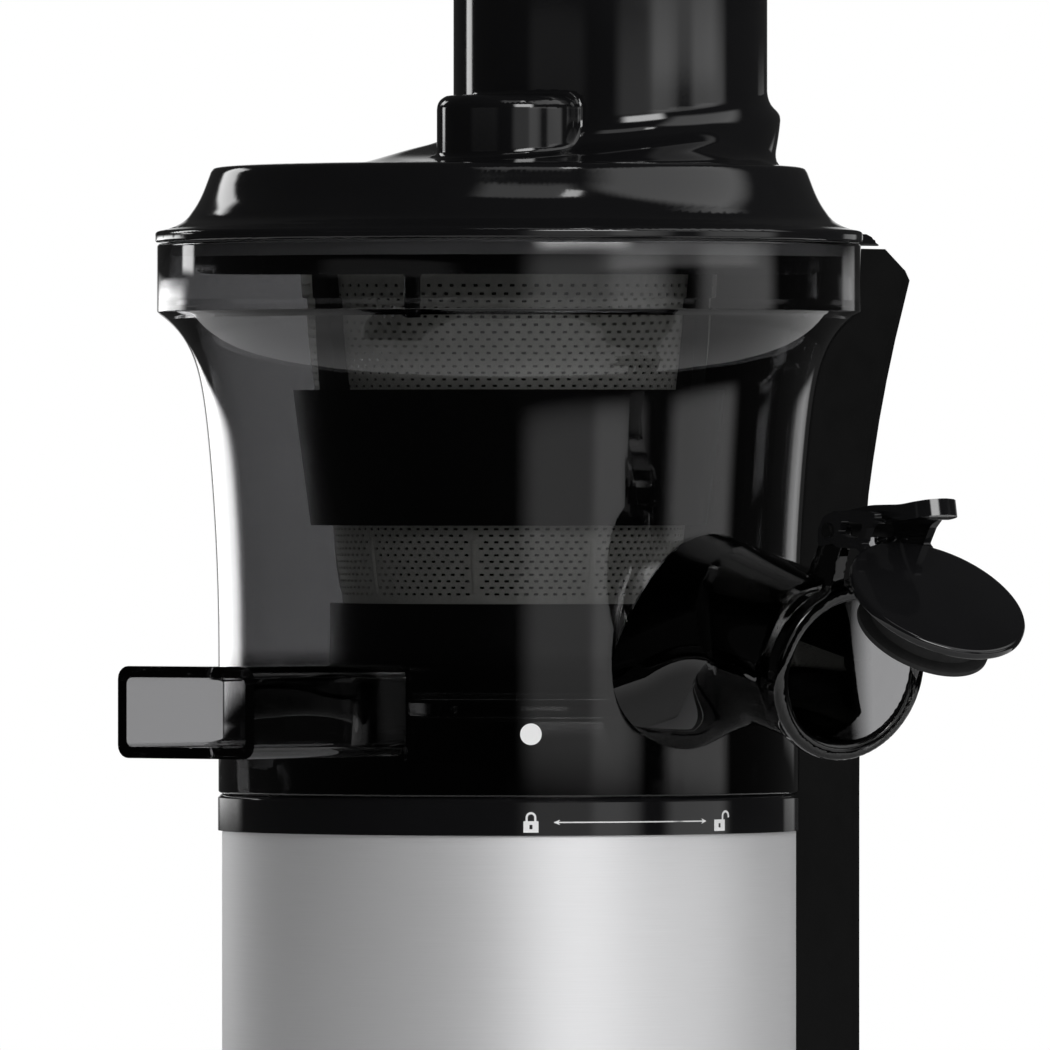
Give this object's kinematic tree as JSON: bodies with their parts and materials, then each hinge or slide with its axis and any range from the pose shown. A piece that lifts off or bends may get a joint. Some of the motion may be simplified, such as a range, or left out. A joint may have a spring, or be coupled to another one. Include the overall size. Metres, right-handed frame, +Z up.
{
  "type": "cold press juicer",
  "caption": "Vertical slow juicer: motor base with rear column, clear bowl with strainer and auger, black lid with offset feed chute, pulp chute and capped juice spout.",
  "frame": {"origin": "on the auger's axis at the table plane, under the rubber feet", "axes": "+Z up along the auger's axis, -Y out of the pulp chute, +Y towards the rear column, +X to the juice spout's side"},
  "size_m": [0.2543, 0.2339, 0.4366],
  "materials": {
    "gloss_black": "gloss",
    "satin_black": "satin",
    "brushed_sleeve": "brushed",
    "smoky_clear": "gloss",
    "smoky_spout": "gloss",
    "strainer_plastic": "satin",
    "mesh_steel": "perforated",
    "rubber_black": "matte",
    "silicone_grey": "matte",
    "steel": "machined",
    "motor_grey": "satin",
    "gear_plastic": "satin",
    "cast_alloy": "cast",
    "copper": "enamelled",
    "fan_plastic": "satin",
    "board_green": "satin",
    "magnet": "plated"
  },
  "bodies": {
    "root": {"base_pan": "satin_black", "rubber_feet": "rubber_black", "foot_screws": "steel", "body_sleeve": "brushed_sleeve", "lock_ring": "gloss_black", "rear_housing": "satin_black", "tower_shell": "satin_black", "back_cover": "satin_black", "cover_screws": "steel", "gearbox_base": "cast_alloy", "gear_bridge": "cast_alloy", "gearbox_cover": "cast_alloy", "gearbox_screws": "steel", "gearbox_bearings": "steel", "motor_can": "motor_grey", "motor_stator": "motor_grey", "motor_windings": "copper", "motor_bearings": "steel", "deck_seal": "silicone_grey", "control_board": "board_green", "board_parts": "fan_plastic", "lid_sensor": "fan_plastic", "switch_bezel": "satin_black", "cord_gland": "satin_black"},
    "rocker": {"power_rocker": "satin_black"},
    "rotor": {"motor_shaft": "steel", "motor_rotor": "motor_grey", "cooling_fan": "fan_plastic"},
    "idler": {"idler_gear": "gear_plastic"},
    "auger": {"output_gear": "gear_plastic", "drive_shaft": "steel", "auger": "strainer_plastic", "auger_pin": "steel"},
    "bowl": {"bowl": "smoky_clear", "pulp_chute": "smoky_clear", "juice_spout": "smoky_spout", "hinge_pin": "satin_black", "hub_seal": "silicone_grey", "strainer_frame": "strainer_plastic", "strainer_mesh": "mesh_steel"},
    "cap": {"spout_cap": "gloss_black", "cap_seal": "rubber_black"},
    "lid": {"lid": "gloss_black", "feed_chute": "gloss_black", "lid_bush": "gear_plastic", "lid_seal": "silicone_grey", "lid_magnet": "magnet"},
    "pusher": {"pusher": "gloss_black"}
  },
  "joints": [
    {"name": "bowl_turn", "type": "hinge", "parent": "root", "child": "bowl", "pos_m": [0, 0, 0.165], "axis": [0, 0, 1], "range_deg": [0, 42]},
    {"name": "lid_lift", "type": "slide", "parent": "bowl", "child": "lid", "axis": [0, 0, 1], "range_m": [0, 0.06]},
    {"name": "pusher_slide", "type": "slide", "parent": "lid", "child": "pusher", "axis": [0, 0, 1], "range_m": [0, 0.09]},
    {"name": "cap_hinge", "type": "hinge", "parent": "bowl", "child": "cap", "pos_m": [0.12511, -0.02998, 0.22707], "axis": [-0.3123, -0.95, 0], "range_deg": [-66, 50]},
    {"name": "power_rocker", "type": "hinge", "parent": "root", "child": "rocker", "pos_m": [0, 0.0893, 0.133], "axis": [1, 0, 0], "range_deg": [-10, 10]},
    {"name": "auger_spin", "type": "hinge", "parent": "root", "child": "auger", "pos_m": [0, 0, 0.15], "axis": [0, 0, 1], "continuous": true},
    {"name": "idler_spin", "type": "hinge", "parent": "root", "child": "idler", "pos_m": [0.03, 0, 0.15], "axis": [0, 0, 1], "continuous": true},
    {"name": "motor_spin", "type": "hinge", "parent": "root", "child": "rotor", "pos_m": [0, 0, 0.08], "axis": [0, 0, 1], "continuous": true}
  ],
  "couplings": [
    {"joint": "idler_spin", "follows": "auger_spin", "ratio": -3},
    {"joint": "motor_spin", "follows": "auger_spin", "ratio": 12}
  ]
}
